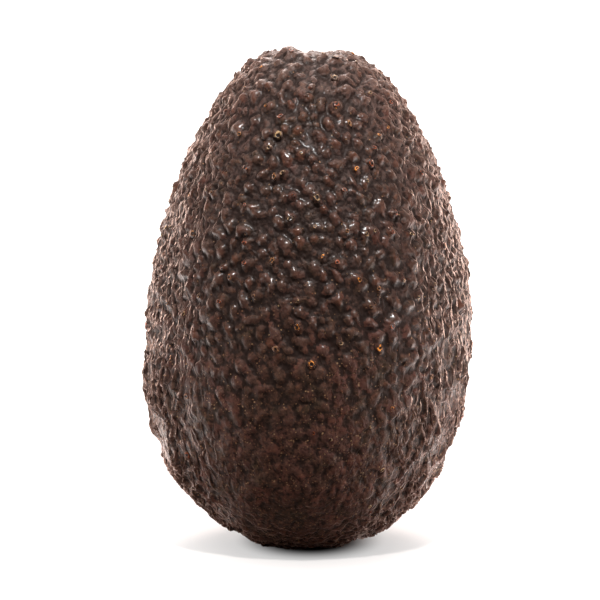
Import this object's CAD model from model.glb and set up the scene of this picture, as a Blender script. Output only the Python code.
import math

import bmesh
import bpy
import numpy as np
from mathutils import Matrix, Vector, kdtree, noise


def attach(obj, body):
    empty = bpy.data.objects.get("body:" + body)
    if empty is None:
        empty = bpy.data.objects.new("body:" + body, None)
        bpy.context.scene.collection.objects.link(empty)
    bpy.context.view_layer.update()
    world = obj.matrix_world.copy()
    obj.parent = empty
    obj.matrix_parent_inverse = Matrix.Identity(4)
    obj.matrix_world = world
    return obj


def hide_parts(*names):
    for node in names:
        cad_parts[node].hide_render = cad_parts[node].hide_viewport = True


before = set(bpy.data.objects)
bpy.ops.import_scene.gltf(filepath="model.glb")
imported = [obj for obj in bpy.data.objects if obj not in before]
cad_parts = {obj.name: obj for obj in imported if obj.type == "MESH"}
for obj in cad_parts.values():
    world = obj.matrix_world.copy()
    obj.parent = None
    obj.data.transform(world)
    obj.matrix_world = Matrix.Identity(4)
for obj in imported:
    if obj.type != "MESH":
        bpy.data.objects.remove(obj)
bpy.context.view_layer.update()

MM = 0.001

# The fruit's form, in millimetres, with the same driving values as its solid
HEIGHT = 102
WIDTH = 69
DEPTH_SHARE = 0.975
WIDEST_LEVEL = 41.7
CROWN_OFFSET = (1.5, 0.8)
LEAN_LEVELS = (5, 56)
FOOT_PRESSED = 0.6
SHOULDER_RUN = 0.46
UPPER_FLANK_RUN = 0.41
LOWER_FLANK_RUN = 0.51
FOOT_RUN = 0.74
DIMPLE_RADIUS = 6
DIMPLE_DEPTH = 1.3
SOCKET_RADIUS = 4.5
SOCKET_DEPTH = 2.3
NODULE_COUNT = 1900
NODULE_HEIGHT = 1.2
HEIGHT_SPREAD = 0.42
NODULE_SHIFT = 0.34
CROWN_FADE = 5
FOOT_FADE = 0.72
SEED = 11

GOLDEN_ANGLE = math.pi * (3 - math.sqrt(5))
RIM = HEIGHT - NODULE_HEIGHT / 2
INNER_RADIUS = WIDTH / 2 - NODULE_HEIGHT
SOCKET_FLOOR = RIM - DIMPLE_DEPTH - SOCKET_DEPTH

# The mesh of the skin: quads on the sides of a box that is drawn out into the fruit, a little closer
# together at its ends
SKIN_COLUMNS = 104
SKIN_ROWS = 163
CLOSER_ENDS = 0.05

# Points on each curve of the profile
CURVE_STEPS = 120

# From where to where the bowl's smooth skin gives way to the relief, counted from the socket's edge
BOWL_EDGE = (-0.4, 1.4)

# The middle of a calmer patch low on the front, where the relief is flatter, and how wide it fades
CALM_PATCH = Vector((-2, -32, 22))
CALM_EDGE = (12, 32)

# The relief is finer and flatter below the first of these levels, and full above the second. They sway
# up and down by so much, over patches of such a size.
HIGH_LEVELS = (18, 62)
LEVEL_SWAY = 14
LEVEL_PATCH = 11

# How far to the side the fruit's relief turns from that of its front and back into that of its flanks
SIDE_SHARES = (0.5, 0.85)
FLANK_SHARES = (0.4, 0.95)
FLANK_SWAY = 0.2
FLANK_PATCH = 9

# Radius of a nodule, and the fullness and the edge of its dome
NODULE_RADII = (0.9, 1.75)
DOME_FULLNESS = 2.4
DOME_EDGE = 1.5

# Heights count for less between nodules, so that they and their cells are taller than wide. High up, the
# nodules are rounder again by so much.
CELL_HEIGHT_SHARE = 0.62
ROUNDER_ABOVE = 1.5

# Share of its height that a nodule has low down and high up, on the flanks, low on them, and in the calm
# patch
NODULE_BY_LEVEL = (0.8, 1.2)
NODULE_ON_SIDE = 0.65
NODULE_LOW_ON_SIDE = 0.5
NODULE_CALMED = 0.6

# Small beads between the nodules: their number, size, share of their height by level, and how they give
# way low on the flanks and on a nodule
BEAD_COUNT = 3600
BEAD_SHIFT = 0.45
BEAD_HEIGHTS = (0.3, 1.0)
BEAD_RADII = (0.65, 1.15)
BEAD_BY_LEVEL = (0.3, 0.82)
BEAD_LESS_LOW_ON_SIDE = 0.6
BEAD_LESS_ON_NODULE = 0.4
BEAD_TO_NODULE = 0.6

# Raised seams between nodules: width, height, how upright they run, and the patches that have fewer
SEAM_WIDTH = 0.54
SEAM_HEIGHTS = (0.75, 1.3)
SEAM_UPRIGHT = (0.3, 0.85)
SEAM_PATCH = 6
SEAM_PATCH_EDGE = (-0.5, 0.1)
SEAM_CALMED = 0.8
SEAM_HIGH_UP = (0.15, 0.8)

# The cobbled floor between the seams
COBBLE_LIFT = 0.14
COBBLE_EDGE = (-0.1, 0.7)
COBBLE_FULLNESS = 0.8

# How far the noise shifts the borders of the cells and then the edges of the nodules, and how fine it is
BORDER_STRAY = ((0.8, 0.28), (0.3, 0.8))
EDGE_STRAY = (0.22, 1.9)

# Height and size of the body's soft lumps, of those on the crown alone, and of its wrinkles and folds
SOFT_LUMPS = ((0.35, 13), (0.3, 4.2))
CROWN_LUMPS = (0.5, 5.5)
CROWN_LUMP_LEVELS = (88, 98)
NOISE_ELSEWHERE = Vector((3, 0, 1))
WRINKLE_HEIGHT = 0.1
WRINKLE_FINENESS = 0.9
FOLD_FINENESS = 0.55

# Two bumps and a notch on the crown's lip, a hollow low on the left and one partway up on the right:
# place, height and radius
UNEVEN_SPOTS = (
    (Vector((-2.4, -4.5, 101.4)), 1.3, 2.6),
    (Vector((8.6, -1.0, 100.6)), 0.5, 1.8),
    (Vector((6.4, -2.5, 101.0)), -0.5, 1.6),
    (Vector((-21, -4, 6)), -1.6, 10),
    (Vector((35, -2, 39)), -0.6, 3.5),
)

# How soft the limit is that keeps the relief from reaching below the table
TABLE_SOFTNESS = 0.15

# A crest is judged against the skin this many edges round it, and counts in full this far above it
CREST_ROUNDS = 5
CREST_HEIGHT = 0.3

# Corky scars: the share of nodules that has one, low down and high up, how near to a nodule's place its
# tip is, and the scars' radius, height and tearing
LOWEST_SCAR = 6
SCAR_SHARES = (0.045, 0.24)
SCAR_LEVELS = (34, 60)
SCAR_REACH = 0.8
SCARRED_NODULE_HEIGHT = 0.4
SCAR_RADII = (0.45, 0.95)
SCAR_NARROWEST = 0.6
SCAR_HEIGHT = 0.45
TORN_OUT = (-0.26, 0.22)
TORN_UP = (-0.3, 0.15)

# A torn crater of cork on a nodule's tip: radius and height of each ring, for a base one unit in radius,
# and how much the ring is worn pale
SCAR_SIDES = 7
SCAR_RINGS = (
    (0.9, -0.55, 0.4),
    (1.0, -0.2, 0.4),
    (0.84, 0.18, 0.55),
    (0.6, 0.4, 1.0),
    (0.4, 0.24, 0.3),
    (0.2, 0.12, 0.1),
)

# The stem button: its gap to the socket, and radius and height of each ring from the underside to the stub
STEM_GAP = 0.3
BUTTON_SIDES = 96
BUTTON_START = 1.2
BUTTON_RINGS = (
    (2.5, 0.1),
    (3.3, 0.5),
    (3.75, 1.0),
    (3.85, 1.35),
    (3.7, 1.65),
    (3.3, 1.8),
    (2.9, 1.72),
    (2.55, 1.72),
    (2.3, 1.85),
    (2.05, 2.1),
    (1.95, 2.35),
    (1.8, 2.45),
    (1.5, 2.4),
    (1.1, 2.28),
    (0.7, 2.2),
    (0.35, 2.15),
)
BARE_UNDERSIDE = 0.3

# How the button's bark is cracked and ragged: fineness round it, and how far in and down each goes
CRACK_FINENESS = 3.2
CRACK_IN = 0.04
CRACK_DEPTH = 0.42
RAGGED_FINENESS = 2
RAGGED_OUT = 0.09
RAGGED_UP = 0.12
ROUGH_FINENESS = 1.7
ROUGH_HEIGHT = 0.16


def lerp(a, b, share):
    return a + (b - a) * share


def smoothstep(value, low, high):
    share = np.clip((value - low) / (high - low), 0, 1)
    return share * share * (3 - 2 * share)


def seeded_random(seed):
    """The generator that placed the solid's nodules, so that both have them in the same places."""
    mask = 0xFFFFFFFF
    state = (seed + 0x6D2B79F5) & mask
    while True:
        state = (state + 0x6D2B79F5) & mask
        mixed = ((state ^ (state >> 15)) * (state | 1)) & mask
        mixed ^= (mixed + ((mixed ^ (mixed >> 7)) * (mixed | 61) & mask)) & mask
        yield (mixed ^ (mixed >> 14)) / (mask + 1)


def curve(start, pull_a, pull_b, end):
    """A Bezier curve with its two ends and what pulls it from each."""
    t = np.linspace(0, 1, CURVE_STEPS + 1)[:, None]
    a, b, c, d = (np.array(point, float) for point in (start, pull_a, pull_b, end))
    return (1 - t) ** 3 * a + 3 * (1 - t) ** 2 * t * b + 3 * (1 - t) * t**2 * c + t**3 * d


def flank_and_foot():
    """The skin's profile in (radius, height), from the rim of the crown's dimple to the foot."""
    widest = (INNER_RADIUS, WIDEST_LEVEL)
    flank = curve(
        (DIMPLE_RADIUS, RIM),
        (lerp(DIMPLE_RADIUS, INNER_RADIUS, SHOULDER_RUN), RIM),
        (INNER_RADIUS, lerp(WIDEST_LEVEL, RIM, UPPER_FLANK_RUN)),
        widest,
    )
    foot = curve(
        widest,
        (INNER_RADIUS, lerp(WIDEST_LEVEL, -FOOT_PRESSED, LOWER_FLANK_RUN)),
        (INNER_RADIUS * FOOT_RUN, -FOOT_PRESSED),
        (0, -FOOT_PRESSED),
    )
    return np.vstack([flank, foot[1:]])


def dimple():
    half = DIMPLE_RADIUS / 2
    low = RIM - DIMPLE_DEPTH
    return curve((0, low), (half, low), (half, RIM), (DIMPLE_RADIUS, RIM))


def stem_bowl():
    """The bowl under the stem button, and the soft lip of skin round it."""
    wall = curve(
        (0, SOCKET_FLOOR),
        (SOCKET_RADIUS * 0.8, SOCKET_FLOOR),
        (SOCKET_RADIUS * 0.96, SOCKET_FLOOR + 0.4),
        (SOCKET_RADIUS * 0.98, SOCKET_FLOOR + SOCKET_DEPTH * 0.7),
    )
    lip = curve(
        wall[-1],
        (SOCKET_RADIUS, RIM - 0.7),
        (SOCKET_RADIUS + 0.4, RIM - 0.15),
        (DIMPLE_RADIUS, RIM),
    )
    return np.vstack([wall, lip[1:]])


class Profile:
    """Points of a profile, with the length along it and the skin's area above each of them."""

    def __init__(self, points):
        self.points = points
        steps = np.diff(points, axis=0)
        lengths = np.hypot(steps[:, 0], steps[:, 1])
        self.along = np.gradient(points, axis=0)
        self.along /= np.hypot(self.along[:, 0], self.along[:, 1])[:, None]
        bands = lengths * (points[1:, 0] + points[:-1, 0])
        self.length = np.concatenate([[0], np.cumsum(lengths)])
        self.area = np.concatenate([[0], np.cumsum(bands)])

    def at(self, measure, share):
        """Radius, height and the direction of the profile at a share of its length or of its area."""
        position = np.asarray(share) * measure[-1]
        columns = (self.points[:, 0], self.points[:, 1], self.along[:, 0], self.along[:, 1])
        return [np.interp(position, measure, column) for column in columns]


def leaned(radius, height, azimuth):
    """Places on the fruit, which is narrower from front to back and leans a little at its crown."""
    lean = smoothstep(height, *LEAN_LEVELS)
    x = radius * np.cos(azimuth) + CROWN_OFFSET[0] * lean
    y = radius * np.sin(azimuth) * DEPTH_SHARE + CROWN_OFFSET[1] * lean
    return np.stack([x, y, height], axis=-1)


def spiral(count, shift, draw):
    """Evenly shared places on the skin, each then shifted at random, as directions on a sphere."""
    places = []
    spacing = math.sqrt(4 * math.pi / count)
    for i in range(count):
        up = 1 - 2 * (i + 0.5) / count
        out = math.sqrt(1 - up * up)
        azimuth = i * GOLDEN_ANGLE
        stray = Vector([next(draw) - 0.5 for _ in range(3)]) * (2 * shift * spacing)
        place = (Vector((out * math.cos(azimuth), out * math.sin(azimuth), up)) + stray).normalized()
        places.append((place, next(draw)))
    return places


def on_fruit(places, profile):
    directions = np.array([place for place, _ in places])
    azimuth = np.arctan2(directions[:, 1], directions[:, 0])
    radius, height, _, _ = profile.at(profile.area, (1 - directions[:, 2]) / 2)
    return leaned(radius, height, azimuth)


def growth(points):
    """How much of its height a nodule has: less round the foot, and none at the socket."""
    from_stem = np.hypot(points[:, 0] - CROWN_OFFSET[0], points[:, 1] - CROWN_OFFSET[1])
    crown = smoothstep(from_stem, SOCKET_RADIUS, SOCKET_RADIUS + CROWN_FADE)
    crown = np.where(points[:, 2] > WIDEST_LEVEL, crown, 1)
    return crown * lerp(FOOT_FADE, 1, smoothstep(points[:, 2], 0, WIDEST_LEVEL))


def finder(points):
    """A search tree over places on the skin, in which heights count for less."""
    tree = kdtree.KDTree(len(points))
    for i, point in enumerate(points):
        tree.insert(metric(point), i)
    tree.balance()
    return tree


def metric(point):
    """A place as the search trees measure it."""
    return Vector((point[0], point[1], point[2] * CELL_HEIGHT_SHARE))


def stretched(offset, upwards):
    """The length of an offset, with its height counted so many times."""
    return math.hypot(offset.x, offset.y, offset.z * upwards)


def dome(share):
    """The height of a dome at a share of its radius: one in its middle and none from its edge on."""
    return (1 - share**DOME_FULLNESS) ** DOME_EDGE if share < 1 else 0.0


def unevenness(place):
    """How far the body itself stands out at a place: lumps, uneven spots, wrinkles and folds."""
    lift = sum(height * noise.noise(place / size) for height, size in SOFT_LUMPS)
    height, size = CROWN_LUMPS
    on_crown = smoothstep(place.z, *CROWN_LUMP_LEVELS)
    lift += height * on_crown * noise.noise(place / size + NOISE_ELSEWHERE)
    for middle, height, radius in UNEVEN_SPOTS:
        lift += height * math.exp(-(((place - middle).length / radius) ** 2))
    wrinkle = WRINKLE_HEIGHT * noise.noise(place * WRINKLE_FINENESS)
    fold = WRINKLE_HEIGHT * abs(noise.noise(place * FOLD_FINENESS))
    return lift + (wrinkle - fold)


class Relief:
    """The skin's raised surface: nodules on a smoother floor, with small beads between them."""

    def __init__(self):
        draw = seeded_random(SEED)
        grown = Profile(np.vstack([dimple(), flank_and_foot()[1:]]))
        nodules = spiral(NODULE_COUNT, NODULE_SHIFT, draw)
        points = on_fruit(nodules, grown)
        self.points = points
        tall = np.array([lerp(1, 1 - HEIGHT_SPREAD, value) for _, value in nodules])
        self.nodule_height = tall * growth(points)
        self.nodule_radius = np.array([lerp(*NODULE_RADII, next(draw)) for _ in nodules])
        self.cork = np.array([next(draw) for _ in nodules])
        self.nodules = finder(points)
        beads = spiral(BEAD_COUNT, BEAD_SHIFT, draw)
        points = on_fruit(beads, grown)
        share = np.array([value for _, value in beads])
        self.bead_height = lerp(*BEAD_HEIGHTS, share) * growth(points)
        self.bead_radius = lerp(*BEAD_RADII, np.array([next(draw) for _ in beads]))
        self.beads = finder(points)

    def seam(self, nearest, other):
        """A thin raised seam between two nodules. It is strongest where it runs up the fruit."""
        across = nearest[0] - other[0]
        upright = smoothstep(math.hypot(across.x, across.y) / across.length, *SEAM_UPRIGHT)
        return upright * (1 - smoothstep((other[2] - nearest[2]) / 2, 0, SEAM_WIDTH))

    def knobs(self, spot, rounder):
        """How high the nodules nearest to a spot stand there, run together."""
        found = [
            self.nodule_height[i] * dome(stretched(tip - spot, rounder) / self.nodule_radius[i])
            for tip, i, _ in self.nodules.find_n(spot, 4)
        ]
        return sum(height**3 for height in found) ** (1 / 3)

    def bead(self, spot, rounder):
        """How high the highest of the beads nearest to a spot stands there."""
        return max(
            self.bead_height[i] * dome(stretched(tip - spot, rounder) / self.bead_radius[i])
            for tip, i, _ in self.beads.find_n(spot, 3)
        )

    def at(self, point):
        """Lift off the body in millimetres, and five values for the skin's material.

        They are the distance from the nearest nodule's tip, how much of a seam is there, the nodule's
        random share of cork, how far the skin is raised, and how far round on the flank it is.
        """
        place = Vector(point)
        high = smoothstep(place.z + LEVEL_SWAY * noise.noise(place / LEVEL_PATCH), *HIGH_LEVELS)
        sideways = abs(place.x) / place.xy.length if place.xy.length else 0
        side = smoothstep(sideways, *SIDE_SHARES)
        low_side = side * (1 - high)
        calm = 1 - smoothstep((place - CALM_PATCH).length, *CALM_EDGE)

        strayed = place
        for shift, fineness in BORDER_STRAY:
            strayed = strayed + shift * noise.noise_vector(place * fineness)
        near = self.nodules.find_n(metric(strayed), 4)
        nearest = near[0][1]
        border = (near[1][2] - near[0][2]) / 2
        cobble = smoothstep(border, *COBBLE_EDGE) ** COBBLE_FULLNESS * self.nodule_height[nearest]
        seam = max(self.seam(near[0], other) for other in near[1:3])
        seam *= smoothstep(noise.noise(place / SEAM_PATCH), *SEAM_PATCH_EDGE) * (1 - SEAM_CALMED * calm)
        seam *= lerp(1, lerp(*SEAM_HIGH_UP, side), high)

        shift, fineness = EDGE_STRAY
        spot = metric(strayed + shift * noise.noise_vector(place * fineness))
        rounder = lerp(1, ROUNDER_ABOVE, high)
        knob = self.knobs(spot, rounder)
        bead = self.bead(spot, rounder)
        knob_share = lerp(*NODULE_BY_LEVEL, high) * lerp(1, NODULE_ON_SIDE, side)
        knob_share *= lerp(1, NODULE_LOW_ON_SIDE, low_side) * (1 - NODULE_CALMED * calm)
        bead_share = lerp(*BEAD_BY_LEVEL, high) * (1 - BEAD_LESS_LOW_ON_SIDE * low_side)
        bead_share *= 1 - BEAD_LESS_ON_NODULE * min(1, knob)

        lift = unevenness(place) + lerp(*SEAM_HEIGHTS, low_side) * seam
        lift += COBBLE_LIFT * (1 - side) * cobble
        lift += knob_share * knob + bead_share * bead
        raised = max(knob, bead * BEAD_TO_NODULE)
        flank = smoothstep(sideways + FLANK_SWAY * noise.noise(place / FLANK_PATCH), *FLANK_SHARES)
        return lift, near[0][2], seam, self.cork[nearest], raised, flank


def next_ring(bm, edges, radius, height):
    """Extrudes a ring of edges to a new radius and height, and returns the new ring."""
    made = bmesh.ops.extrude_edge_only(bm, edges=edges)["geom"]
    verts = [item for item in made if isinstance(item, bmesh.types.BMVert)]
    now = verts[0].co.xy.length
    bmesh.ops.scale(bm, verts=verts, vec=(radius / now, radius / now, 1))
    for vert in verts:
        vert.co.z = height
    return [item for item in made if isinstance(item, bmesh.types.BMEdge)]


def turned_shape(sides, start, rings):
    """A closed shape from a round underside and the rings above it, each a radius and a height."""
    bm = bmesh.new()
    bmesh.ops.create_circle(bm, segments=sides, radius=start[0], cap_ends=True)
    edges = list(bm.edges)
    bmesh.ops.translate(bm, verts=bm.verts, vec=(0, 0, start[1]))
    for radius, height in rings:
        edges = next_ring(bm, edges, radius, height)
    bmesh.ops.contextual_create(bm, geom=edges)
    bmesh.ops.recalc_face_normals(bm, faces=bm.faces)
    return bm


def new_piece(name, bm):
    """An object of its own for a finished shape, shaded smooth."""
    mesh = bpy.data.meshes.new(name)
    bm.to_mesh(mesh)
    bm.free()
    mesh.shade_smooth()
    piece = bpy.data.objects.new(name, mesh)
    bpy.context.collection.objects.link(piece)
    return piece


def scar_mesh():
    """One crater, whole and round, before it is sized and torn."""
    rings = [ring[:2] for ring in SCAR_RINGS]
    bm = turned_shape(SCAR_SIDES, rings[0], rings[1:])
    mesh = bpy.data.meshes.new("scar")
    bm.to_mesh(mesh)
    bm.free()
    return mesh


def skin_finder(smooth):
    """A search tree over the points of the skin before it is raised."""
    tree = kdtree.KDTree(len(smooth))
    for i, point in enumerate(smooth):
        tree.insert(point, i)
    tree.balance()
    return tree


def scar_place(top, draw):
    """Where a scar sits on the skin, how it is turned, and how big it is."""
    radius = lerp(*SCAR_RADII, next(draw) ** 1.5)
    placed = Matrix.Translation(top.co) @ top.normal.to_track_quat("Z", "Y").to_matrix().to_4x4()
    placed @= Matrix.Rotation(next(draw) * math.tau, 4, "Z")
    narrow = radius * lerp(SCAR_NARROWEST, 1, next(draw))
    size = (radius * MM, narrow * MM, SCAR_HEIGHT * radius * MM, 1)
    return placed @ Matrix.Diagonal(size)


def add_scars(bm, smooth, lift, relief):
    """Torn craters of cork on the tips of some nodules. Returns how pale and which tint each point is."""
    draw = seeded_random(SEED + 1)
    bm.normal_update()
    bm.verts.ensure_lookup_table()
    skin = skin_finder(smooth)
    mesh = scar_mesh()
    pale = []
    tint = []
    for point, tall in zip(relief.points, relief.nodule_height):
        chance = lerp(*SCAR_SHARES, smoothstep(point[2], *SCAR_LEVELS))
        near = [i for _, i, _ in skin.find_range(point, SCAR_REACH)]
        low = point[2] < LOWEST_SCAR
        if next(draw) > chance or tall < SCARRED_NODULE_HEIGHT or low or not near:
            continue
        placed = scar_place(bm.verts[max(near, key=lambda i: lift[i])], draw)
        before = len(bm.verts)
        bm.from_mesh(mesh)
        bm.verts.ensure_lookup_table()
        shade = next(draw)
        for i, vert in enumerate(bm.verts[before:]):
            out = vert.co.xy * lerp(*TORN_OUT, next(draw))
            up = lerp(*TORN_UP, next(draw)) * smoothstep(vert.co.z, 0, 0.3)
            vert.co = placed @ (vert.co + Vector((out.x, out.y, up)))
            pale.append(SCAR_RINGS[i // SCAR_SIDES][2])
            tint.append(shade)
    bpy.data.meshes.remove(mesh)
    return np.array(pale), np.array(tint)


def boxed_quads(columns, rows):
    """A two-unit cube of quads, with its upright sides cut into more rows than columns."""
    bm = bmesh.new()
    bmesh.ops.create_cube(bm, size=2)
    upright = [edge for edge in bm.edges if abs(edge.verts[0].co.z - edge.verts[1].co.z) > 1]
    bmesh.ops.subdivide_edges(bm, edges=upright, cuts=rows - 1, use_grid_fill=True)
    level = [edge for edge in bm.edges if abs(edge.verts[0].co.z - edge.verts[1].co.z) < 1e-6]
    bmesh.ops.subdivide_edges(bm, edges=level, cuts=columns - 1, use_grid_fill=True)
    return bm


def crests(lift, edges):
    """How far each point stands above the skin round it: above zero on crests, below it in hollows."""
    around = lift
    for _ in range(CREST_ROUNDS):
        total = np.zeros(len(lift))
        number = np.zeros(len(lift))
        for one, other in ((0, 1), (1, 0)):
            np.add.at(total, edges[:, one], around[edges[:, other]])
            np.add.at(number, edges[:, one], 1)
        around = total / number
    return np.clip((lift - around) / CREST_HEIGHT, -1, 1)


def make_fruit():
    """The skin: a cube of quads drawn out to the fruit's profile, raised by its relief, with its scars."""
    bm = boxed_quads(SKIN_COLUMNS, SKIN_ROWS)
    cube = np.array([vert.co for vert in bm.verts])
    ways = np.tan(cube * math.pi / 4)
    ways /= np.linalg.norm(ways, axis=1)[:, None]
    azimuth = np.arctan2(ways[:, 1], ways[:, 0])
    turn = np.arccos(np.clip(ways[:, 2], -1, 1))
    share = turn / math.pi - CLOSER_ENDS * np.sin(2 * turn)
    shape = Profile(np.vstack([stem_bowl(), flank_and_foot()[1:]]))
    radius, height, along_r, along_z = shape.at(shape.length, share)
    smooth = leaned(radius, height, azimuth)
    from_stem = np.hypot(smooth[:, 0] - CROWN_OFFSET[0], smooth[:, 1] - CROWN_OFFSET[1])
    in_bowl = 1 - smoothstep(from_stem - SOCKET_RADIUS, *BOWL_EDGE)
    in_bowl = np.where(height > WIDEST_LEVEL, in_bowl, 0)

    # The seed also sets where the noise is read from, so that each run has the same skin
    noise.seed_set(SEED)
    relief = Relief()
    found = np.array([relief.at(point) for point in smooth])
    lift = found[:, 0] * (1 - in_bowl)
    raised_height = height + along_r * lift
    raised_height = (raised_height + np.sqrt(raised_height**2 + TABLE_SOFTNESS**2)) / 2
    raised = leaned(radius - along_z * lift, raised_height, azimuth) * MM
    edges = np.array([[vert.index for vert in edge.verts] for edge in bm.edges])
    for vert, place in zip(bm.verts, raised):
        vert.co = place
    scar, tint = add_scars(bm, smooth, lift, relief)
    none = np.zeros(len(scar))
    fruit = new_piece("avocado_skin", bm)
    for name, values in (
        ("from_tip", np.append(found[:, 1], none + 2)),
        ("seam", np.append(found[:, 2], none)),
        ("cork", np.append(found[:, 3], tint)),
        ("raised", np.append(found[:, 4], none + 0.6)),
        ("flank", np.append(found[:, 5], none)),
        ("crest", np.append(crests(lift, edges), none)),
        ("bowl", np.append(in_bowl, none)),
        ("scar", np.append(np.zeros(len(lift)), scar)),
    ):
        layer = fruit.data.attributes.new(name, "FLOAT", "POINT")
        layer.data.foreach_set("value", values.astype(np.float32))
    return fruit


def make_stem_button():
    """The woody button: a cracked flange of dry bark and the short stub where the stalk was clipped."""
    bm = turned_shape(BUTTON_SIDES, (BUTTON_START, 0), BUTTON_RINGS)
    for vert in bm.verts:
        place = vert.co.copy()
        out = place.xy.length
        azimuth = math.atan2(place.y, place.x)
        around = Vector((math.cos(azimuth), math.sin(azimuth), 0))
        whole = abs(noise.noise(around * CRACK_FINENESS + Vector((0, 0, place.z * 0.2)))) ** 0.5
        ragged = noise.noise(around * RAGGED_FINENESS + Vector((4, 0, 0)))
        if place.z > BARE_UNDERSIDE:
            vert.co.xy *= 1 + RAGGED_OUT * ragged * smoothstep(out, 1, 3.4) - CRACK_IN * (1 - whole)
            vert.co.z += RAGGED_UP * ragged - CRACK_DEPTH * (1 - whole) * smoothstep(out, 0.4, 2)
            vert.co.z += ROUGH_HEIGHT * noise.noise(place * ROUGH_FINENESS)
        vert.co.xy += Vector(CROWN_OFFSET)
        vert.co.z += SOCKET_FLOOR + STEM_GAP
        vert.co *= MM
    button = new_piece("woody_button", bm)
    rounding = button.modifiers.new("rounding", "SUBSURF")
    rounding.levels = 2
    rounding.render_levels = 2
    return button


# Colours of the skin, from its ground to the marks on it, in linear light
PLUM = (0.025, 0.0122, 0.0088, 1)
PURPLE_BROWN = (0.034, 0.0156, 0.0135, 1)
RUSSET = (0.054, 0.020, 0.016, 1)
OLIVE_BLACK = (0.020, 0.014, 0.0085, 1)
DARK_MOTTLE = (0.005, 0.0028, 0.0024, 1)
TAN_MOTTLE = (0.125, 0.054, 0.034, 1)
DUSTY_VALLEY = (0.058, 0.042, 0.041, 1)
RED_NODULE = (0.042, 0.0130, 0.0115, 1)
DUSTY_CROWN = (0.085, 0.053, 0.047, 1)
BLACK_HOLLOW = (0.007, 0.0035, 0.003, 1)
WORN_CREST = (0.11, 0.06, 0.046, 1)
PALE_SEAM = (0.16, 0.092, 0.076, 1)
NET_CELL = (0.016, 0.0085, 0.0075, 1)
NET_LINE = (0.095, 0.052, 0.044, 1)
DARK_RUST = (0.12, 0.036, 0.018, 1)
PALE_RUST = (0.30, 0.19, 0.10, 1)
DARK_TIP = (0.05, 0.014, 0.007, 1)
PALE_TIP = (0.13, 0.045, 0.02, 1)
BLACK_PIT = (0.012, 0.007, 0.005, 1)
BOWL_BROWN = (0.045, 0.03, 0.018, 1)

# Colours of the corky scars
STRAW = (0.42, 0.27, 0.14, 1)
TAWNY = (0.24, 0.10, 0.035, 1)
BRICK = (0.25, 0.055, 0.018, 1)
ORANGE = (0.75, 0.27, 0.04, 1)
SCAR_BLACK = (0.006, 0.003, 0.002, 1)

# Colours of the stem button
DARK_BARK = (0.030, 0.016, 0.009, 1)
PALE_BARK = (0.15, 0.085, 0.042, 1)
DARK_WOOD = (0.085, 0.048, 0.024, 1)
PALE_WOOD = (0.27, 0.17, 0.085, 1)
WOOD_RING = (0.014, 0.008, 0.005, 1)
BARK_EDGE = (0.016, 0.009, 0.006, 1)
BARK_SPECK = (0.035, 0.02, 0.012, 1)

# How fine each pattern of the skin is, in repeats a metre, from the broadest
BROAD_SCALE = 60.0
ZONE_SCALE = 230.0
PATCH_SCALE = 420.0
STRAY_SCALE = 500.0
NET_SCALE = 560.0
GLOSS_SCALE = 650.0
PEBBLE_SCALE = 1050.0
MOTTLE_SCALE = 1100.0
FINE_SCALE = 1600.0
SPECK_SCALE = 2100.0
GRAIN_SCALE = 2400.0

# Depth of the fine relief that only the materials show, in metres
SKIN_BUMP = 0.00024
STEM_BUMP = 0.0006

# Colours of the table: as it is seen, and as it throws light in front of the fruit and behind it
WHITE = (1, 1, 1, 1)
TABLE_SEEN = (0.26, 0.24, 0.23, 1)
TABLE_IN_FRONT = (0.14, 0.12, 0.11, 1)
TABLE_BEHIND = (0.9, 0.79, 0.74, 1)


class Nodes:
    """Adds nodes to a tree and joins them, so that a material reads from top to bottom."""

    def __init__(self, tree):
        self.tree = tree

    def add(self, kind, inputs=None, **settings):
        made = self.tree.nodes.new(kind)
        for name, value in settings.items():
            setattr(made, name, value)
        for name, value in (inputs or {}).items():
            self.put(value, made.inputs[name])
        return made

    def put(self, value, socket):
        if isinstance(value, bpy.types.NodeSocket):
            self.tree.links.new(value, socket)
        elif isinstance(value, bpy.types.Node):
            self.tree.links.new(value.outputs[0], socket)
        else:
            socket.default_value = value

    def math(self, operation, a, b=0.5):
        return self.add("ShaderNodeMath", {0: a, 1: b}, operation=operation).outputs[0]

    def times(self, a, b):
        return self.math("MULTIPLY", a, b)

    def plus(self, a, b):
        return self.math("ADD", a, b)

    def minus(self, a, b):
        return self.math("SUBTRACT", a, b)

    def tinted(self, strength, tint):
        """A colour from a strength, with each of its channels at its own share."""
        shares = [self.times(strength, share) for share in tint]
        return self.add("ShaderNodeCombineColor", dict(enumerate(shares))).outputs[0]

    def span(self, value, low, high, to_low=0.0, to_high=1.0):
        """The value's place between low and high, brought smoothly to the other two."""
        inputs = {"Value": value, "From Min": low, "From Max": high, "To Min": to_low, "To Max": to_high}
        return self.add("ShaderNodeMapRange", inputs, interpolation_type="SMOOTHSTEP").outputs[0]

    def mix(self, share, a, b, blend="MIX"):
        made = self.add("ShaderNodeMix", data_type="RGBA", blend_type=blend)
        for socket, value in zip((made.inputs[0], made.inputs[6], made.inputs[7]), (share, a, b)):
            self.put(value, socket)
        return made.outputs[2]

    def noise(self, place, scale, detail=3.0, rough=0.55, distortion=0.0):
        inputs = {
            "Vector": place,
            "Scale": scale,
            "Detail": detail,
            "Roughness": rough,
            "Distortion": distortion,
        }
        return self.add("ShaderNodeTexNoise", inputs).outputs[0]

    def vector(self, operation, inputs):
        """The vector that an operation gives, or the value where it measures a distance or a length."""
        made = self.add("ShaderNodeVectorMath", inputs, operation=operation)
        return made.outputs["Value" if operation in ("DISTANCE", "LENGTH") else "Vector"]

    def attribute(self, name):
        return self.add("ShaderNodeAttribute", attribute_name=name).outputs["Fac"]


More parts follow.
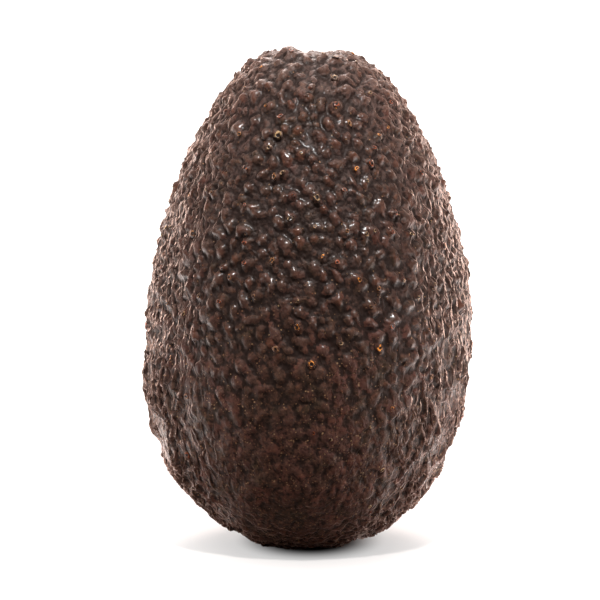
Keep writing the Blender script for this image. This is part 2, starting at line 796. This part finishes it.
def new_group(name, inputs, outputs):
    tree = bpy.data.node_groups.new(name, "ShaderNodeTree")
    for title, kind, value in inputs:
        socket = tree.interface.new_socket(title, in_out="INPUT", socket_type=kind)
        if value is not None:
            socket.default_value = value
    for title, kind in outputs:
        tree.interface.new_socket(title, in_out="OUTPUT", socket_type=kind)
    return tree, tree.nodes.new("NodeGroupInput"), tree.nodes.new("NodeGroupOutput")


def dry_grain():
    """Fine dry grain and scattered specks, for the skin and the stem button."""
    tree, given, result = new_group(
        "dry_grain",
        [
            ("Place", "NodeSocketVector", None),
            ("Grain Scale", "NodeSocketFloat", GRAIN_SCALE),
            ("Speck Scale", "NodeSocketFloat", SPECK_SCALE),
            ("Speck Share", "NodeSocketFloat", 0.1),
        ],
        [("Grain", "NodeSocketFloat"), ("Specks", "NodeSocketFloat")],
    )
    n = Nodes(tree)
    grain = n.noise(given.outputs["Place"], given.outputs["Grain Scale"], 2.0, 0.6)
    cells = n.add(
        "ShaderNodeTexVoronoi",
        {"Vector": given.outputs["Place"], "Scale": given.outputs["Speck Scale"]},
    )
    draw = n.add("ShaderNodeSeparateColor", {0: cells.outputs["Color"]}).outputs[0]
    chosen = n.math("LESS_THAN", draw, given.outputs["Speck Share"])
    torn = n.plus(cells.outputs["Distance"], n.span(grain, 0.3, 0.7, -0.22, 0.22))
    spot = n.span(torn, 0.1, 0.42, 1.0, 0.0)
    n.put(grain, result.inputs["Grain"])
    n.put(n.times(chosen, spot), result.inputs["Specks"])
    return tree


def new_material(name):
    material = bpy.data.materials.new(name)
    material.use_nodes = True
    n = Nodes(material.node_tree)
    shader = material.node_tree.nodes["Principled BSDF"]
    return material, n, shader


class SkinPlaces:
    """Where a material is on the skin: what its mesh says, and the patterns that several effects share."""

    def __init__(self, n):
        self.place = n.add("ShaderNodeTexCoord").outputs["Object"]
        self.level = n.add("ShaderNodeSeparateXYZ", {0: self.place}).outputs[2]
        self.from_tip = n.attribute("from_tip")
        self.raised = n.attribute("raised")
        self.cork = n.attribute("cork")
        self.bowl = n.attribute("bowl")
        self.crest = n.attribute("crest")
        self.seam = n.attribute("seam")
        self.flank = n.attribute("flank")
        self.scar = n.attribute("scar")
        self.fine = n.noise(self.place, FINE_SCALE, 3.0)
        self.patchy = n.noise(self.place, PATCH_SCALE, 4.0, 0.62, 0.4)
        self.mottled = n.noise(self.place, MOTTLE_SCALE, 5.0, 0.72, 0.3)
        self.valley = n.times(n.span(self.raised, 0.02, 0.3, 1.0, 0.0), n.span(self.level, 0.03, 0.08))
        self.find_net(n)
        self.find_worn_tips(n)

    def find_net(self, n):
        """A net of thin lines with upright cells. It shows on the flanks, and less near the crown."""
        tall = n.add(
            "ShaderNodeMapping",
            {"Vector": self.place, "Scale": (1, 1, 0.42)},
            vector_type="POINT",
        )
        strayed = n.add("ShaderNodeTexNoise", {"Vector": self.place, "Scale": STRAY_SCALE, "Detail": 2.0})
        stray = n.vector("SCALE", {0: strayed.outputs["Color"], 3: 0.0012})
        wavy = n.vector("ADD", {0: tall, 1: stray})
        self.net = n.add(
            "ShaderNodeTexVoronoi",
            {"Vector": wavy, "Scale": NET_SCALE},
            feature="DISTANCE_TO_EDGE",
        ).outputs["Distance"]
        on_flank = n.span(self.flank, 0.0, 1.0, 0.1, 1.0)
        self.netted = n.times(on_flank, n.span(self.level, 0.05, 0.085, 1.0, 0.35))
        line = n.times(n.span(self.net, 0.02, 0.11, 1.0, 0.0), n.span(self.patchy, 0.3, 0.55, 0.15, 0.85))
        self.net_line = n.times(line, self.netted)

    def find_worn_tips(self, n):
        """The worn tips of some nodules, and the small pits in a few of them."""
        ragged = n.plus(self.from_tip, n.span(self.fine, 0.25, 0.75, -0.3, 0.3))
        tip = n.span(ragged, 0.3, 0.85, 1.0, 0.0)
        often = n.times(n.span(self.cork, 0.74, 0.9), n.span(self.level, 0.03, 0.055, 0.2, 1.0))
        self.worn_tip = n.times(tip, often)
        self.pit = n.times(n.span(self.from_tip, 0.1, 0.26, 1.0, 0.0), n.span(self.cork, 0.82, 0.88))


def ground_colour(n, skin):
    """Purple-brown in soft zones, lighter in the calm patch, and mottled with black and tan."""
    broad = n.noise(skin.place, BROAD_SCALE, 4.0, 0.6)
    zones = n.noise(skin.place, ZONE_SCALE, 3.0, 0.6, 0.5)
    colour = n.mix(n.span(broad, 0.35, 0.65), PLUM, PURPLE_BROWN)
    colour = n.mix(n.span(zones, 0.5, 0.7), colour, RUSSET)
    colour = n.mix(n.span(zones, 0.48, 0.32, 0.0, 0.7), colour, OLIVE_BLACK)
    to_patch = n.vector("DISTANCE", {0: skin.place, 1: CALM_PATCH * MM})
    lighter = n.tinted(n.span(to_patch, 0.02, 0.055, 1.85, 1.0), (1.04, 1.04, 0.98))
    colour = n.mix(1.0, colour, lighter, "MULTIPLY")
    colour = n.mix(n.span(skin.mottled, 0.5, 0.36, 0.0, 0.85), colour, DARK_MOTTLE)
    low_down = n.span(skin.level, 0.02, 0.07, 1.0, 0.0)
    tan_share = n.span(low_down, 0.0, 1.0, 0.55, 0.85)
    return n.mix(n.span(skin.mottled, 0.53, 0.66, 0.0, tan_share), colour, TAN_MOTTLE)


def relief_colour(n, skin, colour):
    """Dusty valleys, red nodules, black hollows, worn crests, pale seams, and the net on the flanks."""
    colour = n.mix(n.times(skin.valley, 0.5), colour, DUSTY_VALLEY)
    redder = n.times(n.span(skin.raised, 0.3, 0.8), n.span(skin.cork, 0.35, 0.7, 0.05, 0.6))
    colour = n.mix(redder, colour, RED_NODULE)
    colour = n.mix(n.span(skin.level, 0.088, 0.101, 0.0, 0.5), colour, DUSTY_CROWN)
    crest = n.plus(skin.crest, n.span(skin.fine, 0.2, 0.8, -0.25, 0.25))
    colour = n.mix(n.span(crest, -0.4, 0.1, 0.9, 0.0), colour, BLACK_HOLLOW)
    colour = n.mix(n.span(crest, 0.25, 1.1, 0.0, 0.3), colour, WORN_CREST)
    seam_share = n.span(skin.level, 0.03, 0.07, 0.75, 0.45)
    colour = n.mix(n.span(skin.seam, 0.4, 0.85, 0.0, seam_share), colour, PALE_SEAM)
    cell = n.times(n.span(skin.net, 0.1, 0.3), n.times(skin.netted, 0.35))
    colour = n.mix(cell, colour, NET_CELL)
    colour = n.mix(skin.net_line, colour, NET_LINE)
    upper = n.span(skin.level, 0.052, 0.085, 0.0, 0.42)
    by_height = n.plus(n.span(skin.level, 0.015, 0.035, 1.1, 0.8), upper)
    return n.mix(1.0, colour, n.tinted(by_height, (1.02, 1.0, 0.94)), "MULTIPLY")


def marked_colour(n, skin, colour, specks):
    """Rusty specks, worn tips with their pits, and the browner bowl under the stem button."""
    rust = n.mix(n.span(skin.fine, 0.3, 0.7), DARK_RUST, PALE_RUST)
    colour = n.mix(n.times(specks, n.span(skin.patchy, 0.38, 0.6)), colour, rust)
    worn = n.mix(skin.fine, DARK_TIP, PALE_TIP)
    colour = n.mix(n.times(skin.worn_tip, 0.6), colour, worn)
    colour = n.mix(n.times(skin.pit, 0.8), colour, BLACK_PIT)
    return n.mix(n.times(skin.bowl, 0.5), colour, BOWL_BROWN)


def scarred_colour(n, skin, colour):
    """Corky scars, each straw, tawny, brick or orange on its rim and black inside."""
    bark = n.mix(n.span(skin.cork, 0.15, 0.35), STRAW, TAWNY)
    bark = n.mix(n.span(skin.cork, 0.45, 0.6), bark, BRICK)
    bark = n.mix(n.span(skin.cork, 0.84, 0.88), bark, ORANGE)
    ragged = n.plus(skin.scar, n.span(skin.fine, 0.25, 0.75, -0.5, 0.35))
    worn = n.mix(n.span(ragged, 0.5, 0.95), colour, bark)
    worn = n.mix(n.span(skin.scar, 0.15, 0.4), SCAR_BLACK, worn)
    return n.mix(n.math("GREATER_THAN", skin.scar, 0.05), colour, worn)


def skin_roughness(n, skin):
    """Patchy leather, drier in the valleys, low down and on worn tips."""
    shine = n.span(n.noise(skin.place, GLOSS_SCALE, 3.0), 0.3, 0.7, 0.36, 0.5)
    drier = n.plus(n.times(skin.valley, 0.12), n.span(skin.level, 0.035, 0.07, 0.2, 0.0))
    return n.plus(n.plus(shine, drier), n.times(skin.worn_tip, 0.15))


def skin_wax(n, skin):
    """A thin coat of wax on the nodules, less of it low down, on the flanks and on the crown."""
    waxed = n.times(n.span(skin.level, 0.03, 0.07, 0.15, 1.0), n.span(skin.flank, 0.0, 1.0, 1.0, 0.25))
    waxed = n.times(waxed, n.span(skin.level, 0.086, 0.1, 1.0, 0.25))
    return n.times(n.span(skin.raised, 0.1, 0.6, 0.12, 0.6), waxed)


def skin_fine_relief(n, skin, grain):
    """Relief too fine for the mesh: pebbles, the net's lines, mottling, grain, pits and seams."""
    pebbles = n.add(
        "ShaderNodeTexVoronoi",
        {"Vector": skin.place, "Scale": PEBBLE_SCALE, "Smoothness": 0.3},
        feature="SMOOTH_F1",
    ).outputs["Distance"]
    lines = n.times(n.span(skin.net, 0.0, 0.2, 1.0, 0.0), n.span(skin.netted, 0.0, 1.0, 0.3, 1.4))
    relief = n.plus(lines, n.times(pebbles, n.span(skin.level, 0.04, 0.07, -0.5, -0.9)))
    relief = n.plus(relief, n.times(skin.mottled, n.span(skin.level, 0.04, 0.07, 0.5, 0.8)))
    relief = n.plus(relief, n.times(grain, 0.1))
    relief = n.plus(relief, n.times(skin.pit, -0.5))
    return n.plus(relief, n.span(skin.seam, 0.4, 0.8, 0.0, 0.7))


def skin_material(grain_group):
    """Dark leathery skin: purple-brown, glossy on the nodules, with rusty specks and corky scars."""
    material, n, shader = new_material("avocado_skin")
    skin = SkinPlaces(n)
    grain = n.add("ShaderNodeGroup", node_tree=grain_group)
    n.put(skin.place, grain.inputs["Place"])
    n.put(n.span(skin.level, 0.0, 0.065, 0.5, 0.05), grain.inputs["Speck Share"])
    grain.inputs["Grain Scale"].default_value = GRAIN_SCALE
    grain.inputs["Speck Scale"].default_value = SPECK_SCALE

    colour = relief_colour(n, skin, ground_colour(n, skin))
    colour = marked_colour(n, skin, colour, grain.outputs["Specks"])
    n.put(scarred_colour(n, skin, colour), shader.inputs["Base Color"])
    n.put(skin_wax(n, skin), shader.inputs["Coat Weight"])
    n.put(skin_roughness(n, skin), shader.inputs["Roughness"])
    height = skin_fine_relief(n, skin, grain.outputs["Grain"])
    n.put(n.add("ShaderNodeBump", {"Height": height, "Distance": SKIN_BUMP}), shader.inputs["Normal"])
    n.put(n.plus(n.times(skin.net_line, 0.55), 0.6), shader.inputs["Sheen Weight"])
    shader.inputs["Specular IOR Level"].default_value = 0.2
    shader.inputs["Specular Tint"].default_value = (1, 0.82, 0.75, 1)
    shader.inputs["Coat Roughness"].default_value = 0.18
    shader.inputs["Coat IOR"].default_value = 1.4
    shader.inputs["Sheen Roughness"].default_value = 0.25
    shader.inputs["Sheen Tint"].default_value = (1, 0.69, 0.57, 1)
    return material


def stem_material(grain_group):
    """Dry bark with rays round a stub of paler, fibrous wood."""
    material, n, shader = new_material("dry_stem")
    place = n.add("ShaderNodeTexCoord").outputs["Object"]
    stem_axis = Vector((*CROWN_OFFSET, 0)) * MM
    from_axis = n.vector("SUBTRACT", {0: place, 1: stem_axis})
    flat = n.vector("MULTIPLY", {0: from_axis, 1: (1, 1, 0)})
    around = n.vector("NORMALIZE", {0: flat})
    out = n.vector("LENGTH", {0: flat})
    fibres = n.noise(place, 1300.0, 5.0, 0.65, 0.8)
    rays = n.noise(around, 7.0, 4.0, 0.7)
    ragged = n.plus(out, n.span(fibres, 0.2, 0.8, -0.0005, 0.0005))
    bark = n.mix(n.span(rays, 0.4, 0.62), DARK_BARK, PALE_BARK)
    wood = n.mix(n.span(fibres, 0.35, 0.65), DARK_WOOD, PALE_WOOD)
    colour = n.mix(n.span(ragged, 0.0016, 0.0019), wood, WOOD_RING)
    colour = n.mix(n.span(ragged, 0.0020, 0.0024), colour, bark)
    colour = n.mix(n.span(ragged, 0.0033, 0.0038, 0.0, 0.8), colour, BARK_EDGE)
    grain = n.add("ShaderNodeGroup", node_tree=grain_group)
    n.put(place, grain.inputs["Place"])
    grain.inputs["Grain Scale"].default_value = 3200.0
    grain.inputs["Speck Scale"].default_value = 2600.0
    grain.inputs["Speck Share"].default_value = 0.2
    colour = n.mix(n.times(grain.outputs["Specks"], 0.6), colour, BARK_SPECK)
    n.put(colour, shader.inputs["Base Color"])
    n.put(n.span(fibres, 0.3, 0.7, 0.95, 0.7), shader.inputs["Roughness"])
    height = n.plus(n.plus(fibres, n.times(rays, 0.8)), n.times(grain.outputs["Grain"], 0.6))
    n.put(n.add("ShaderNodeBump", {"Height": height, "Distance": STEM_BUMP}), shader.inputs["Normal"])
    return material


def seen_table_light(n, place, depth):
    """How bright the table looks: a soft shade close round the fruit's foot, and white away from it."""
    foot = n.add("ShaderNodeMapping", {"Vector": place, "Location": (-0.0019, 0, 0), "Scale": (1.25, 1, 1)})
    from_foot = n.vector("LENGTH", {0: foot})
    clear = n.span(from_foot, 0.0095, 0.0205, 0.0, 0.58)
    far = n.plus(n.span(from_foot, 0.016, 0.045, 0.0, 0.3), n.span(depth, 0.06, 0.5, 0.0, 0.6))
    return n.plus(clear, far)


def thrown_table_light(n, place, depth, aside, outwards):
    """How much light the table throws up at the fruit: none in front, most beside it and behind it."""
    reach = n.vector("LENGTH", {0: place})
    glow = n.times(n.span(outwards, -0.005, 0.05), n.span(reach, 0.05, 0.3, 9.6, 1.5))
    beside = n.span(n.minus(aside, n.times(depth, 0.7)), -0.04, 0.03, 0.08, 1.0)
    return n.times(glow, beside)


def floor_material():
    """A white table, shaded softly under the fruit, that lights the fruit's sides from below."""
    material, n, shader = new_material("white_table")
    place = n.add("ShaderNodeTexCoord").outputs["Object"]
    parts = n.add("ShaderNodeSeparateXYZ", {0: place})
    across = parts.outputs[0]
    depth = parts.outputs[1]
    aside = n.math("ABSOLUTE", across)
    side = n.plus(n.times(aside, 0.62), n.times(across, 0.12))
    outwards = n.plus(depth, side)
    seen = n.add("ShaderNodeLightPath").outputs["Is Camera Ray"]
    thrown = n.mix(n.span(outwards, -0.04, 0.06), TABLE_IN_FRONT, TABLE_BEHIND)
    n.put(n.mix(seen, thrown, TABLE_SEEN), shader.inputs["Base Color"])
    seen_light = n.times(seen, seen_table_light(n, place, depth))
    glow = n.times(n.minus(1.0, seen), thrown_table_light(n, place, depth, aside, outwards))
    n.put(n.plus(seen_light, glow), shader.inputs["Emission Strength"])
    shader.inputs["Emission Color"].default_value = WHITE
    shader.inputs["Roughness"].default_value = 0.7
    shader.inputs["Specular IOR Level"].default_value = 0.1
    return material


def make_floor():
    """A round table top, far wider than the view."""
    bm = bmesh.new()
    bmesh.ops.create_circle(bm, segments=96, radius=6, cap_ends=True)
    floor = new_piece("table_top", bm)
    floor.data.materials.append(floor_material())


def make_surround():
    """A white studio: bright above and behind the fruit and darker in front, where the camera stands."""
    world = bpy.data.worlds.new("white_studio")
    bpy.context.scene.world = world
    world.use_nodes = True
    n = Nodes(world.node_tree)
    background = world.node_tree.nodes["Background"]
    way = n.add("ShaderNodeTexCoord").outputs["Generated"]
    parts = n.add("ShaderNodeSeparateXYZ", {0: way})
    behind = n.span(parts.outputs[1], 0.2, 0.85, 0.04, 0.8)
    above = n.span(parts.outputs[2], 0.4, 0.95, 0.0, 1.2)
    warm_light = n.tinted(n.plus(behind, above), (1.0, 0.88, 0.82))
    seen = n.add("ShaderNodeLightPath").outputs["Is Camera Ray"]
    n.put(n.mix(seen, warm_light, WHITE), background.inputs["Color"])


def make_light(name, place, aim, size, power, colour=(1, 1, 1)):
    data = bpy.data.lights.new(name, "AREA")
    data.shape = "DISK"
    data.size = size
    data.energy = power
    data.color = colour
    light = bpy.data.objects.new(name, data)
    light.location = place
    light.rotation_euler = (Vector(aim) - Vector(place)).to_track_quat("-Z", "Y").to_euler()
    bpy.context.collection.objects.link(light)


def make_lights():
    """A small lamp over the camera, for highlights, and three broad warm ones behind, for bright edges."""
    middle = (0, 0, 0.06)
    crown = (0, 0, 0.1)
    warm = (1, 0.9, 0.86)
    warmer = (1, 0.84, 0.76)
    make_light("overhead_front", (0.03, -0.36, 0.66), middle, size=0.06, power=6.6)
    make_light("top_rear", (0, 0.45, 0.5), crown, size=0.3, power=4.8, colour=warm)
    make_light("left_rear", (-0.38, 0.6, 0.06), middle, size=0.35, power=2.5, colour=warmer)
    make_light("right_rear", (0.42, 0.58, 0.03), middle, size=0.35, power=2.3, colour=warmer)


def make_camera():
    """Eye level a little above the fruit, straight in front of it."""
    distance = 0.6
    elevation = math.radians(8)
    field = 0.1239
    sensor = 36
    aim = Vector((-0.00056, 0, 0.0505))
    data = bpy.data.cameras.new("camera")
    data.sensor_width = sensor
    data.lens = sensor * distance / field
    camera = bpy.data.objects.new("camera", data)
    back = Vector((0, -math.cos(elevation), math.sin(elevation)))
    camera.location = aim + back * distance
    camera.rotation_euler = (-back).to_track_quat("-Z", "Y").to_euler()
    bpy.context.collection.objects.link(camera)
    bpy.context.scene.camera = camera


make_camera()
make_floor()
make_surround()
make_lights()
bpy.context.scene.view_settings.view_transform = "Standard"

grain_group = dry_grain()
fruit = make_fruit()
fruit.data.materials.append(skin_material(grain_group))
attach(fruit, "root")
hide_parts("fruit")

button = make_stem_button()
button.data.materials.append(stem_material(grain_group))
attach(button, "root")
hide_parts("stem_button")
